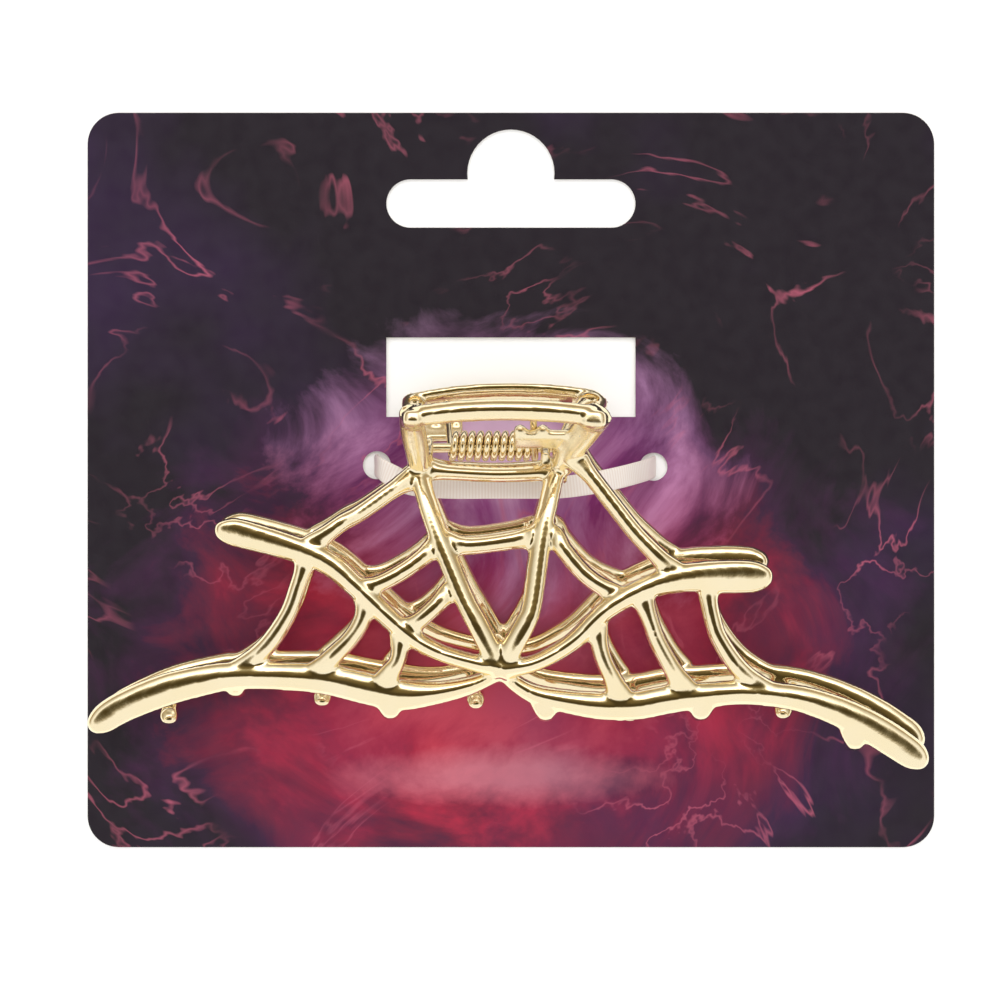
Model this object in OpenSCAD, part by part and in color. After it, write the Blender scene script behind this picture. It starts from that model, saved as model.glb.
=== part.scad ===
// Cobweb hair claw fastened to a hang card by a plastic strap.
// Origin: middle of the card on its back face, +X to the right, +Y up the card, +Z out of its front.
// The clip has a frame of its own: its hinge axis is x, v runs up along the card and w out towards
// the viewer. Its tables hold x, v and w, and on_card() sets them down on the card.

/* [Clip] */
// Length of a jaw, from wing tip to wing tip
jaw_length = 105.4; // [104:0.1:107]
// Depth of a web rod, from its crest to its flat inner face
rod_depth = 2.2; // [2:0.1:2.4]
// Depth of the broad wings
wing_depth = 2.5; // [2.2:0.1:2.8]
// Depth of a tooth
tooth_depth = 2; // [1.8:0.1:2.2]
// Distance between neighbouring teeth of one jaw
tooth_pitch = 19.4; // [19:0.1:19.8]
// Lean of the clip as it lies, which raises its handles
tilt = 4.9; // [4:0.1:6]

/* [Hinge] */
// Radius of the hinge pin
pin_r = 0.6; // [0.56:0.01:0.64]
// Running clearance of the pin in its ears, on the radius
pin_fit = 0.05; // [0.02:0.01:0.08]
// Outer radius of an ear
ear_r = 1.4; // [1.3:0.1:1.5]
// Thickness of an ear
ear_t = 1.2; // [1:0.1:1.2]
// Diameter of the spring wire
wire_d = 0.9; // [0.8:0.1:0.9]
// Mean radius of the coil
coil_r = 1.5; // [1.46:0.01:1.52]
// Whole turns of the coil
coil_turns = 10; // [8:1:10]

/* [Card] */
// Width of the card
card_w = 108.7; // [108:0.1:112]
// Height of the card
card_h = 94.3; // [90:0.1:100]
// Thickness of the card
card_t = 0.5; // [0.4:0.1:0.6]
// Radius of the card's corners
corner_r = 4; // [2:0.5:6]
// Width of the hang slot
slot_w = 32; // [30:0.5:34]
// Height of the hang slot's straight bar
slot_h = 6.2; // [5:0.1:7]
// Width of the window behind the handle
window_w = 32; // [30:0.5:33]
// Height of the window behind the handle
window_h = 10.2; // [9:0.1:12]

/* [Strap] */
// Width of the strap
strap_w = 2.8; // [2.4:0.1:3]
// Thickness of the strap
strap_t = 0.5; // [0.4:0.1:0.5]
// Radius of the two holes for the strap
hole_r = 1.8; // [1.7:0.1:2]

/* [Hidden] */
$fn = 64;

axis_place = [-1.3, 4, 14.8];
handle_lean = 49.6;
handle_face = [0, -sin(handle_lean), cos(handle_lean)];
viewer = [0, 0, 1];
down = [0, -1, 0];
upright = [0, 1, 0];
steps = 3;
// The back jaw's casting sits a little turned on its pin, its left wings lower
back_turn = 0.8;

// Columns: v and w of an ear's foot where it starts, its size along v and w
ear_foot = [[-1.4, 0, 1.4, 2], [-2.6, 0.8, 2.6, 3.2]];

ear_gap = 0.3;
front_left = -9.7;
front_right = 5;
back_left = front_left - ear_gap - ear_t;
back_right = front_right + ear_t + ear_gap;
head_gap = 0.1;
head_t = 0.4;
head_r = pin_r + 0.4;
pin_left = back_left - head_gap;
pin_right = back_right + ear_t + head_gap;

arm_lean = 57;
arm_length = 11.4;
left_shift = -0.75;
right_shift = -0.3;
// The spring's arms lift its coil a little off the pin's middle
coil_lift = 0.25;
coil_left = -6.2;
coil_right = 4.3;
coil_sides = 12;
coil_start = 270 - arm_lean;
coil_sweep = 180 - 2 * arm_lean + 360 * coil_turns;
coil_count = coil_sides * coil_turns + 2;

slot_centre = 35.5;
hump_r = 5.6;
hump_rise = 3.9;
window_centre = 13.2;
left_hole = [-17.2, 1.9];
right_hole = [18.3, 1.7];

// Columns: x, v, w of the crest, width
left_leg = [
    [0.6, -27.6, 11.4, 2.6], [-0.8, -25.1, 11.9, 2.5], [-2.9, -21, 11.8, 2.4], [-4.7, -17.5, 10.9, 2.3],
    [-7.4, -11.1, 9.1, 2.3], [-9.3, -5.8, 6.7, 2.2], [-10.2, -2.3, 4.5, 2.2]
];
right_leg = [
    [-0.6, -27.8, 11.4, 2.6], [1.3, -24.1, 12, 2.5], [3, -21, 11.8, 2.4], [3.9, -18.2, 11.1, 2.3],
    [5, -10.3, 8.7, 2.3], [5.9, -6.5, 7, 2.2], [6.9, -2.2, 4.4, 2.2]
];
top_bar = [
    [-11.7, 3.8, 12.8, 2.4], [-10, 4.2, 13.3, 2.5], [-5, 4.8, 14, 2.4], [0.5, 5, 14.2, 2.4],
    [6, 4.8, 14, 2.4], [10.8, 4.3, 13.4, 2.5], [12.4, 3.9, 12.9, 2.4]
];
lower_bar = [
    [-10.4, -2.8, 4.5, 2], [-5.1, -3.3, 4.5, 2], [0, -3.5, 4.5, 2], [4.9, -3.3, 4.5, 2], [8.2, -2.9, 4.5, 2]
];
left_side = [[-10.1, -3.1, 4, 1.9], [-10.3, -0.6, 6.7, 2.1], [-10.6, 1.9, 9.2, 2.6], [-11.1, 4.5, 12.8, 2.8]];
right_side = [[7.3, -3, 4, 1.9], [8.4, -0.2, 7, 2.1], [9.9, 2.2, 9.5, 2.6], [11.9, 4.6, 12.8, 2.8]];
// The lugs' ends and their knobs along x, and v and w of their crest
front_lug = [1.7, 8.8];
front_knobs = [2.4, 5.2];
back_lug = [-4.8, -10.6];
back_knobs = [-8.2, -5.6];
lug_crest = [1.1, 7.2];
lug_width = 2.4;
lug_depth = 1;
knob_depth = 1.3;
// Columns: v, w of a knob's crest, width
knob_shape = [[1.3, 7, 1.1], [2, 7.8, 1.1], [2.3, 8.1, 0.9]];
cross_thread = [
    [-7.4, -11.2, 9.1, 2.2], [-5.2, -11.6, 9.2, 2], [-2.3, -11.5, 9.1, 2], [2.8, -10.8, 9, 2],
    [5, -10.4, 8.8, 2.2]
];
upper_left_wing = [
    [0, -26.5, 12, 2.2], [-3.3, -26, 12, 2], [-8.4, -24.4, 11.7, 2.1], [-12.6, -21.6, 11.3, 2.4],
    [-18, -16.6, 10.7, 2.6], [-21.2, -13.9, 10.2, 2.8], [-25, -12.2, 9.4, 3], [-31.9, -10.3, 7.8, 3.4],
    [-34.8, -9.8, 7, 3], [-36, -9.7, 6.7, 1.4]
];
upper_right_wing = [
    [0, -26.8, 12, 2.2], [3.7, -26.2, 11.9, 2], [6.6, -24.9, 11.8, 2.1], [9.4, -23, 11.6, 2.2],
    [13.2, -19.4, 11.3, 2.4], [18, -16.8, 10.7, 2.7], [22.8, -15.6, 9.9, 3.4], [28.6, -15.5, 8.6, 4],
    [32.8, -15.6, 7.6, 3.4], [34.2, -15.7, 7.3, 1.6]
];
lower_left_wing = [
    [1.5, -26.6, 11.2, 1.8], [-1.2, -27.9, 10.6, 1.8], [-4.2, -29.1, 10.5, 2.2], [-8.4, -30, 10.4, 2.8],
    [-12.6, -30.3, 10.3, 3.5], [-16.8, -29.5, 10.2, 3.6], [-21.8, -28.4, 10, 3.4], [-27.5, -28, 9.7, 3.3],
    [-33.3, -27.9, 9.4, 3.4], [-37, -28.6, 9.1, 3.8], [-42, -30, 8.7, 4], [-47.3, -32.3, 8.3, 3.6],
    [-50.4, -34.3, 8, 2.6], [-51.6, -35.2, 7.9, 1.2]
];
lower_right_wing = [
    [-1.5, -25.8, 11.2, 1.8], [0.3, -27.3, 10.6, 1.8], [1.8, -28.7, 10.5, 2], [4.6, -30.2, 10.5, 2.4],
    [9.4, -31.2, 10.4, 3], [13.2, -31.6, 10.3, 3.4], [17.1, -31.5, 10.2, 3.5], [20.9, -30.8, 10.1, 3.5],
    [25.6, -30.3, 9.8, 3.1], [30.6, -30, 9.6, 2.9], [36.3, -30.6, 9.2, 3.1], [40.2, -31.7, 8.9, 3.4],
    [44, -33.3, 8.6, 3.7], [47.9, -35.5, 8.2, 3.9], [52.2, -38.4, 7.7, 3], [53.6, -39.2, 7.6, 1.4]
];
web_threads = [
    [[-10.6, -3.2, 5.2, 2], [-13.1, -4.6, 6.2, 2], [-17.4, -7.5, 7.8, 2], [-20, -8.9, 8.9, 2],
        [-23.6, -11.6, 9.4, 2]],
    [[-7.4, -10.9, 9.1, 2], [-8.8, -12.2, 9.9, 2], [-11.9, -14.5, 10.2, 2], [-15.3, -16.3, 10.4, 2],
        [-18.4, -17.1, 10.4, 2]],
    [[-5.3, -16.2, 10.7, 2.1], [-6.9, -17.7, 11.4, 2], [-8.5, -19.3, 11.4, 2], [-10.5, -21, 11.4, 2],
        [-12.7, -22.3, 11, 2]],
    [[-24.2, -12.3, 9.3, 2.2], [-24.5, -14.2, 9.2, 2], [-25.3, -16.7, 9.3, 2], [-26.6, -20.2, 9.4, 2],
        [-29.6, -24.2, 9.4, 2.2], [-33.4, -27.4, 9.2, 3]],
    [[-16.8, -17.2, 10.5, 2.2], [-17, -19.7, 10.5, 2], [-17.6, -21.4, 10.5, 2], [-18.9, -23.3, 10.4, 2],
        [-21.2, -25.6, 10.2, 2.2], [-23.6, -28.2, 9.8, 3]],
    [[-12.4, -21.9, 11, 2], [-12.6, -24.6, 11, 1.9], [-13, -26.1, 10.9, 1.9], [-13.8, -27.3, 10.6, 2.2],
        [-14.8, -29.4, 10.2, 2.9]],
    [[25.8, -15.8, 9.2, 2.2], [25.9, -18.1, 9, 2], [26.4, -20.7, 9.2, 2], [27.3, -23.3, 9.4, 2],
        [30, -27, 9.5, 2.2], [33.6, -30.1, 9.2, 3]],
    [[17.3, -17.2, 10.7, 2.2], [18.6, -20.8, 10.5, 2], [19.5, -23.3, 10.4, 2], [20.9, -26, 10.3, 2.1],
        [23.4, -30.2, 9.8, 3]],
    [[11.8, -20.9, 11.2, 2.1], [12.4, -24.2, 11, 2], [13, -26.1, 10.9, 2], [14, -28.2, 10.6, 2.2],
        [15.2, -31.2, 10, 3]],
    [[9, -0.4, 6.6, 2.2], [11.4, -3.2, 7.5, 2], [13.6, -6, 8.2, 2], [16.7, -9.9, 9.2, 2],
        [19.3, -12.6, 9.9, 2.1], [22, -15.4, 9.9, 2.4]],
    [[5, -9.8, 8.7, 2], [6.8, -10.6, 9.5, 2], [7.9, -12.1, 9.7, 2], [9.7, -14.3, 10, 2],
        [11.5, -15.9, 10.3, 2], [15.5, -18, 10.8, 2.2]]
];
// How far the wing's crest lies below the hinge at each tooth
front_falls = [28.1, 30.8, 31, 31, 34.9];
back_falls = [30.8, 28.8, 29.4, 31.3, 31.2];
front_first = -33.2;
back_first = -42.4;
// Columns: fall below the wing, distance in from the wing's crest, width
tooth_root = [[0.6, 1.6, 3.4], [2.2, 4.8, 2.7]];
// Columns: fall below the wing, w, width
tooth_tip = [[3.4, 1.2, 2.3], [3.7, -0.5, 2], [3.2, -1.3, 1.2]];

// The strap's route over the back jaw's legs. Columns: x, y, z
strap_route = [
    [-17.2, 1.9, 0], [-17.2, 1.9, 3], [-17.1, 1.8, 7.5], [-16.5, 1.4, 10.7], [-15, 0.5, 12.2],
    [-12.5, -0.6, 12.6], [-8, -1, 12.4], [-2, -1, 12.2], [4, -1, 12.3], [6.9, -0.9, 12.1],
    [10.5, -0.4, 10.9], [14.2, 0.4, 8.4], [17.1, 1.2, 4.4], [18.3, 1.7, 1.6], [18.3, 1.7, 0]
];

// Points of the wire, and the way out from the coil's axis to each
function coil_angle(i) = coil_start - coil_sweep * i / coil_count;
function coil_out(i) = [0, cos(coil_angle(i)), sin(coil_angle(i))];
function coil_point(i) =
    [coil_left + (coil_right - coil_left) * i / coil_count, coil_lift, 0] + coil_r * coil_out(i);
function coil_heading(i) = [0, sin(coil_angle(i)), -cos(coil_angle(i))];

function unit(p) = p / norm(p);
function place(row) = [row[0], row[1], row[2]];
function spline(a, b, c, d, t) =
    0.5 * (2 * b + (c - a) * t + (2 * a - 5 * b + 4 * c - d) * t * t + (3 * b - a - 3 * c + d) * t * t * t);
function smooth(rows, n) =
    let(last = len(rows) - 1)
    [
        for (i = [0 : last - 1], k = [0 : n - 1])
            spline(
                i == 0 ? 2 * rows[0] - rows[1] : rows[i - 1], rows[i], rows[i + 1],
                i + 1 == last ? 2 * rows[last] - rows[last - 1] : rows[i + 2], k / n),
        rows[last]
    ];
function heading(rows, i) = unit(place(rows[min(i + 1, len(rows) - 1)]) - place(rows[max(i - 1, 0)]));
function squared(out, along) = unit(out - (out * along) * along);

// A loaf: a rounded crest over slanted sides and a flat inner face. Columns: across, outwards
function loaf(width, depth) = [
    [-width * 0.46, -depth], [width * 0.46, -depth], [width / 2, -depth * 0.5], [width * 0.27, -depth * 0.1],
    [0, 0], [-width * 0.27, -depth * 0.1], [-width / 2, -depth * 0.5]
];
function wire(r) = [for (a = [0 : 60 : 300]) r * [cos(a), sin(a)]];
function ring(at, along, out, section) =
    let(n = squared(out, along), s = cross(n, along)) [for (p = section) at + p[0] * s + p[1] * n];

// Joins rings of points into one closed solid
module skin(rings) {
    k = len(rings[0]);
    last = len(rings) - 1;
    polyhedron(
        points = [for (r = rings, p = r) p],
        faces = [
            [for (j = [0 : k - 1]) j],
            [for (j = [k - 1 : -1 : 0]) last * k + j],
            for (i = [0 : last - 1], j = [0 : k - 1])
                let(a = i * k + j, b = i * k + (j + 1) % k)
                each [[a, a + k, b + k], [a, b + k, b]]
        ]);
}

module rod(rows, depth = rod_depth, out = viewer) {
    path = smooth(rows, steps);
    skin([for (i = [0 : len(path) - 1])
        ring(place(path[i]), heading(path, i), out, loaf(path[i][3], depth))]);
}

module handle() {
    rod(top_bar, out = handle_face);
    rod(lower_bar, out = handle_face);
    rod(left_side);
    rod(right_side);
}

// A plate inside the handle frame that backs the spring, with a knob on each side of its arm
module lug(ends, knobs) {
    rod([for (x = ends) [x, lug_crest[0], lug_crest[1], lug_width]], depth = lug_depth, out = handle_face);
    for (x = knobs)
        rod([for (r = knob_shape) [x, r[0], r[1], r[2]]], depth = knob_depth, out = handle_face);
}

module legs() {
    rod(left_leg);
    rod(right_leg);
    rod(cross_thread);
}

module wings() {
    for (wing = [upper_left_wing, upper_right_wing, lower_left_wing, lower_right_wing])
        rod(wing, depth = wing_depth);
}

module threads() {
    for (thread = web_threads)
        rod(thread);
}

// Teeth hang from the lower wings and reach just past the middle plane
module teeth(first, falls) {
    for (i = [0 : len(falls) - 1]) {
        x = first + i * tooth_pitch;
        crest = 10.4 - 0.001 * x * x;
        rod(concat(
            [for (r = tooth_root) [x, -falls[i] - r[0], crest - r[1], r[2]]],
            [for (r = tooth_tip) [x, -falls[i] - r[0], r[1], r[2]]]), depth = tooth_depth, out = down);
    }
}

module web(first, falls, lug_ends, knobs) {
    resize([jaw_length, 0, 0])
        union() {
            handle();
            lug(lug_ends, knobs);
            legs();
            wings();
            threads();
            teeth(first, falls);
        }
}

module along_x(from, to, r) {
    translate([from, 0, 0])
        rotate([0, 90, 0])
            cylinder(h = to - from, r = r);
}

// A round eye on the hinge axis with a foot that runs out to the handle's lower bar
module ear(from) {
    along_x(from, from + ear_t, ear_r);
    for (f = ear_foot)
        translate([from, f[0], f[1]])
            cube([ear_t, f[2], f[3]]);
}

module pin_bore() {
    along_x(pin_left - head_t, pin_right + head_t, pin_r + pin_fit);
}

module on_card() {
    translate(axis_place)
        rotate([tilt, 0, 0])
            children();
}

module front_jaw() {
    color("khaki")
        on_card()
            difference() {
                union() {
                    web(front_first, front_falls, front_lug, front_knobs);
                    ear(front_left);
                    ear(front_right);
                }
                pin_bore();
            }
}

module back_jaw() {
    color("darkkhaki")
        on_card()
            mirror([0, 0, 1])
                difference() {
                    union() {
                        rotate([0, 0, back_turn])
                            web(back_first, back_falls, back_lug, back_knobs);
                        ear(back_left);
                        ear(back_right);
                    }
                    pin_bore();
                }
}

module hinge_pin() {
    color("goldenrod")
        on_card() {
            along_x(pin_left - head_t, pin_right + head_t, pin_r);
            along_x(pin_left - head_t, pin_left, head_r);
            along_x(pin_right, pin_right + head_t, head_r);
        }
}

module spring() {
    section = wire(wire_d / 2);
    first = coil_heading(0);
    last = coil_heading(coil_count);
    color("silver")
        on_card()
            skin(concat(
                [ring(coil_point(0) - arm_length * first + [left_shift, 0, 0], first, coil_out(0),
                    section)],
                [for (i = [0 : coil_count]) ring(coil_point(i), coil_heading(i), coil_out(i), section)],
                [ring(coil_point(coil_count) + arm_length * last + [right_shift, 0, 0], last,
                    coil_out(coil_count), section)]));
}

module strap() {
    path = smooth(strap_route, steps);
    count = len(path) - 1;
    section = [[-strap_t / 2, -strap_w / 2], [strap_t / 2, -strap_w / 2], [strap_t / 2, strap_w / 2],
        [-strap_t / 2, strap_w / 2]];
    color("whitesmoke")
        skin([for (i = [0 : count])
            let(along = i == 0 ? [0, 0, 1] : i == count ? [0, 0, -1] : heading(path, i))
            ring(path[i], along, upright, section)]);
}

// A flat bar with round ends
module stadium(length, height) {
    square([length - height, height], center = true);
    for (side = [-1, 1])
        translate([side * (length - height) / 2, 0])
            circle(d = height);
}

module rounded_board() {
    square([card_w - 2 * corner_r, card_h], center = true);
    square([card_w, card_h - 2 * corner_r], center = true);
    for (x = [-1, 1], y = [-1, 1])
        translate([x * (card_w / 2 - corner_r), y * (card_h / 2 - corner_r)])
            circle(r = corner_r);
}

module hang_slot() {
    translate([0, slot_centre]) {
        stadium(slot_w, slot_h);
        translate([0, hump_rise])
            circle(r = hump_r);
    }
}

module card() {
    color("dimgray")
        linear_extrude(card_t)
            difference() {
                rounded_board();
                hang_slot();
                translate([0, window_centre])
                    square([window_w, window_h], center = true);
                translate(left_hole)
                    circle(r = hole_r);
                translate(right_hole)
                    circle(r = hole_r);
            }
}

front_jaw();
back_jaw();
hinge_pin();
spring();
strap();
card();
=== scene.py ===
"""The looks of a hair claw shaped like a cobweb, strapped to its hang card.

The clip's tables are in millimetres in the clip's own frame, as the part's source has them: x runs
along the hinge axis, v up along the card and w out towards the viewer. on_card() carries points
from there to the row's frame in metres.
"""

from math import cos, pi, radians, sin

import bpy
import numpy as np
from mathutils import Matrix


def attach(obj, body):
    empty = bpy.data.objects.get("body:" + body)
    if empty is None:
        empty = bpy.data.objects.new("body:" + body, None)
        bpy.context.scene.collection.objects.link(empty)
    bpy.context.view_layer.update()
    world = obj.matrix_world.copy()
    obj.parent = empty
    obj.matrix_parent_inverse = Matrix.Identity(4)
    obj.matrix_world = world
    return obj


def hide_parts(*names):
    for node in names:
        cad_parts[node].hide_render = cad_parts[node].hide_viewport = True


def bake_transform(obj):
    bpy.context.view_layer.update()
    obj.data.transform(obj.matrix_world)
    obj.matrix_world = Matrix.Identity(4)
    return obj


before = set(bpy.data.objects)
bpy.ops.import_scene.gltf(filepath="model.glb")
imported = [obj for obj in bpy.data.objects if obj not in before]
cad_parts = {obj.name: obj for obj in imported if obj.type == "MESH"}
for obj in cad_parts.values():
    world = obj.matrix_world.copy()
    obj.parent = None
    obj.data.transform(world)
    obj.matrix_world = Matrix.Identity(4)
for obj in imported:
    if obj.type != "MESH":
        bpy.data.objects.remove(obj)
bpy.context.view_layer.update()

# The clip on its card, in millimetres and degrees
MM = 0.001
AXIS_PLACE = (-1.3, 4, 14.8)
TILT = 4.9
BACK_TURN = 0.8
HANDLE_LEAN = 49.6

# Ways that a rod's crest can face
VIEWER = (0, 0, 1)
DOWN = (0, -1, 0)
SIDEWAYS = (1, 0, 0)
UPRIGHT = (0, 1, 0)
HANDLE_FACE = (0, -sin(radians(HANDLE_LEAN)), cos(radians(HANDLE_LEAN)))

# How deep the rods are
ROD_DEPTH = 2.2
SIDE_DEPTH = 2.5
KNUCKLE_DEPTH = 3.4
WING_DEPTH = 2.5
TOOTH_DEPTH = 2
LUG_DEPTH = 1.3
KNOB_DEPTH = 1.5

# Shapes of a crest: a power of sin for its height, and a power of cos for its width
SHARP_CREST = (1.5, 1.2)
THREAD_CREST = (1.2, 0.9)
ROUND_CREST = (1, 1)
TOOTH_CREST = (1, 0.65)
KNOB_CREST = (0.8, 0.8)
TIP_CREST = (0.75, 0.7)
BLOCK_CREST = (0.6, 0.6)
LUG_TOP = (0.5, 0.5)
FOOT_TOP = (0.4, 0.4)
# Shapes of a rod's inner half: one power for both
BLOCK_BASE = 0.7
FLAT_BASE = 0.4

# How rods are cut, lean and join
STEP = 0.3
SPAN_POINTS = 24
LEG_LEAN = 0.2
BAR_FLARE = 0.7
THREAD_FLARE = 0.35
# A flared rod's crest sinks by this share at a join. The flare dies out over about JOIN_LENGTH
JOIN_TAPER = 0.25
JOIN_LENGTH = 2

# How long the rounded stretch of each free end is
BAR_NOSE = 0.9
KNUCKLE_NOSE = 0.6
KNOB_NOSE = 0.6
TOOTH_NOSE = 0.9
WING_NOSE = 3
WING_BLUNT = 20
# A free end's crest falls away over at most this length
END_FALL = 0.9

# The skin over a casting's rods
VOXEL = 0.25
FILLET_PASSES = 9
# The passes take about this much off a rod's width
SKIN_LOSS = 0.3
# Edges that are sharper than this many degrees stay sharp
CAST_EDGE = 50
HEAD_EDGE = 40

# Hinge
PIN_R = 0.6
PIN_ENDS = (-11.3, 7.8)
BORE_R = 0.65
BORE_ENDS = (-14, 11)
EAR_R = 1.4
EAR_T = 1.2
EAR_RIM = 0.15
FRONT_EARS = (-9.7, 5)
BACK_EARS = (-11.2, 6.5)
# Columns: v, w, width
EAR_FOOT = [(-0.3, 0.2, 2.2), (-1.2, 2.2, 2.4), (-1.6, 3.8, 2.4)]
HEAD_R = 1
HEAD_T = 0.4
# Columns: height as a share of HEAD_T, radius as a share of HEAD_R
HEAD_DOME = [(1, 0.45), (0.9, 0.7), (0.65, 0.9), (0.3, 0.98), (0, 0.96)]

# Spring
WIRE_R = 0.45
WIRE_NOSE = 0.4
WIRE_SIDES = 16
COIL_R = 1.5
COIL_TURNS = 10
COIL_ENDS = (-6.2, 4.3)
COIL_LIFT = 0.25
ARM_LEAN = 57
ARM_LENGTH = 11.4
ARM_SHIFTS = (-0.75, -0.3)
# Rows of points along each turn and each arm
TURN_ROWS = 48
ARM_ROWS = 30

# Columns of a rod's table: x, v, w of the crest, width
LEFT_LEG = [
    (0.6, -27.6, 11.4, 2.6), (-0.8, -25.1, 11.9, 2.5), (-2.9, -21, 11.8, 2.4), (-4.7, -17.5, 10.9, 2.3),
    (-7.4, -11.1, 9.1, 2.3), (-9.3, -5.8, 6.7, 2.2), (-10.2, -2.3, 4.5, 2.2)]
RIGHT_LEG = [
    (-0.6, -27.8, 11.4, 2.6), (1.3, -24.1, 12, 2.5), (3, -21, 11.8, 2.4), (3.9, -18.2, 11.1, 2.3),
    (5, -10.3, 8.7, 2.3), (5.9, -6.5, 7, 2.2), (6.9, -2.2, 4.4, 2.2)]
TOP_BAR = [
    (-11.7, 4.4, 12.9, 2.4), (-10, 4.9, 13.3, 2.4), (-5, 5.5, 13.9, 2.5), (0.5, 5.7, 14.1, 2.5),
    (6, 5.5, 13.9, 2.5), (10.8, 5, 13.4, 2.4), (12.6, 4.6, 13, 2.4)]
# How much higher and wider than its table each jaw's top bar is, and the way its crest faces
FRONT_BAR = (0, 0, VIEWER)
BACK_BAR = (0.7, 1.5, (0, 0.8, 1))
LOWER_BAR = [
    (-10.4, -2.5, 4.5, 1.8), (-5.1, -2.9, 4.5, 1.8), (0, -3.1, 4.5, 1.8), (4.9, -2.9, 4.5, 1.8),
    (8.2, -2.5, 4.5, 1.8)]
LEFT_SIDE = [
    (-10.1, -3.1, 4.4, 2.4), (-10.4, -0.4, 7.2, 2.8), (-10.8, 2.2, 9.9, 3), (-11.1, 4.5, 12.8, 2.6)]
RIGHT_SIDE = [
    (7.4, -3, 4.4, 2.6), (8.7, 0, 7.4, 3.2), (10.3, 2.6, 10.1, 3.6), (11.8, 4.6, 12.8, 3.2)]
# Each knuckle is a short block on its side of the handle
LEFT_KNUCKLE = [(-10.9, 3.9, 14.1, 2.3), (-10.9, 4.9, 13.7, 2.3), (-10.9, 6.1, 13.1, 2.3)]
RIGHT_KNUCKLE = [(11.4, 3.6, 14.1, 3), (11.5, 4.8, 13.7, 3.1), (11.6, 6.1, 13.1, 3)]
# Each knuckle's inner face has a hollow. Columns: x, v, w, radius along x
KNUCKLE_HOLLOWS = [(-10.9, 5.3, 10.3, 0.9), (11.5, 5.3, 10.3, 1.2)]
KNUCKLE_HOLLOW_R = 0.75
CROSS_THREAD = [
    (-7.2, -11.2, 8.5, 2), (-5.2, -11.6, 9, 2), (-2.3, -11.5, 9.1, 2), (2.6, -10.8, 9, 2),
    (4.6, -10.5, 8.2, 1.8)]
UPPER_LEFT_WING = [
    (0, -26.5, 12, 2.2), (-3.3, -26, 12, 2), (-8.4, -24.4, 11.7, 2.1), (-12.6, -21.6, 11.3, 2.4),
    (-18, -16.6, 10.7, 2.6), (-21.2, -13.9, 10.2, 2.8), (-25, -12.2, 9.5, 3), (-31.9, -10.3, 8.4, 3.4),
    (-34.8, -9.8, 7.9, 3.3), (-36, -9.7, 7.7, 3.2)]
UPPER_RIGHT_WING = [
    (0, -26.8, 12, 2.2), (3.7, -26.2, 11.9, 2), (6.6, -24.9, 11.8, 2.1), (9.4, -23, 11.6, 2.2),
    (13.2, -19.4, 11.3, 2.4), (18, -16.8, 10.7, 2.7), (22.8, -15.6, 10, 3.4), (28.6, -15.5, 9, 4),
    (32.8, -15.6, 8.4, 3.7), (34.2, -15.7, 8.2, 3.5)]
LOWER_LEFT_WING = [
    (1.5, -26.6, 11.2, 1.8), (-1.2, -27.9, 10.6, 1.8), (-4.2, -29.1, 10.5, 2.2), (-8.4, -30, 10.4, 2.8),
    (-12.6, -30.2, 10.3, 3.8), (-16.8, -29.4, 10.2, 3.9), (-21.8, -28.3, 10, 3.7), (-27.5, -27.9, 9.7, 3.4),
    (-33.3, -27.9, 9.4, 3.4), (-37, -28.5, 9.1, 3.7), (-42, -29.8, 8.7, 3.9), (-47.3, -32, 8.3, 3.7),
    (-50.4, -34, 8.1, 3.4), (-51.6, -34.9, 8, 3.2)]
LOWER_RIGHT_WING = [
    (-1.5, -25.8, 11.2, 1.8), (0.3, -27.3, 10.6, 1.8), (1.8, -28.7, 10.5, 2), (4.6, -30.2, 10.5, 2.4),
    (9.4, -31.2, 10.4, 3), (13.2, -31.6, 10.3, 3.4), (17.1, -31.5, 10.2, 3.5), (20.9, -30.8, 10.1, 3.5),
    (25.6, -30.3, 9.8, 3.1), (30.6, -30, 9.6, 2.9), (36.3, -30.6, 9.2, 3.1), (40.2, -31.7, 8.9, 3.4),
    (44, -33.3, 8.6, 3.7), (47.9, -35.5, 8.3, 3.9), (52.2, -38.4, 8, 3.6), (53.6, -39.2, 7.9, 3.4)]
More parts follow.
